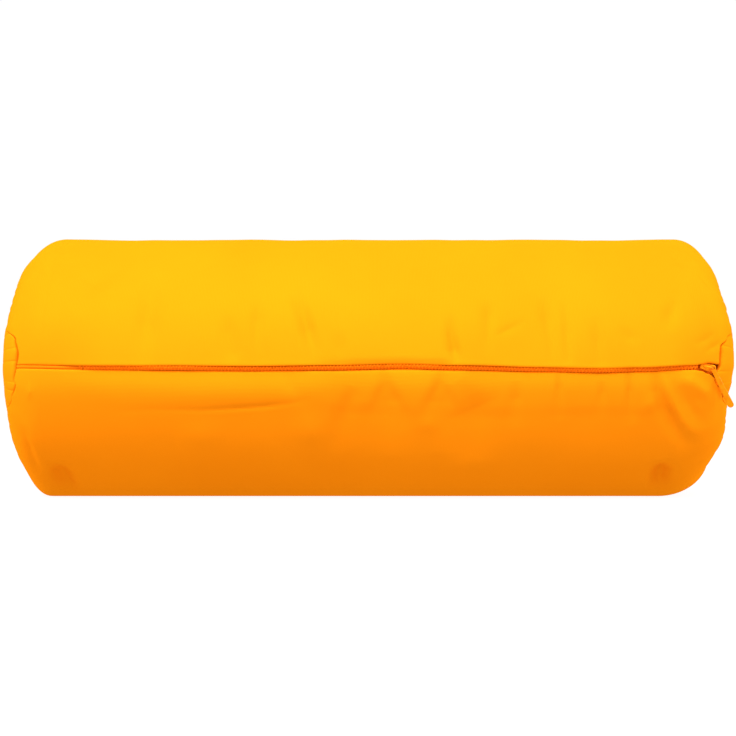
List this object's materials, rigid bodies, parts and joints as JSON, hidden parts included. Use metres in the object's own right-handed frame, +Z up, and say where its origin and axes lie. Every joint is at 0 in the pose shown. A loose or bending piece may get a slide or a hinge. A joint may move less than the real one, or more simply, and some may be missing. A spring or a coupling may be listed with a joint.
{
  "type": "neck roll pillow",
  "caption": "Soft filled neck roll in a plain satin tube cover, with gathered end discs and a lengthwise zip with its slider and pull.",
  "frame": {"origin": "under the middle of the roll, on the surface that it lies on", "axes": "+X along the roll towards the zip's slider, -Y towards the side with the zip, +Z up"},
  "size_m": [0.4061, 0.1514, 0.1468],
  "materials": {
    "cover_satin": "smooth cotton satin with a soft sheen",
    "zip_tape_cloth": "dense woven tape",
    "zip_coil_nylon": "dyed nylon coil",
    "zip_lacquer": "lacquered to match the cover"
  },
  "bodies": {
    "root": {"cover_roll": "cover_satin", "end_disc_left": "cover_satin", "end_disc_right": "cover_satin", "zip_tape": "zip_tape_cloth", "zip_coil": "zip_coil_nylon", "zip_slider": "zip_lacquer", "zip_pull": "zip_lacquer"}
  },
  "joints": []
}
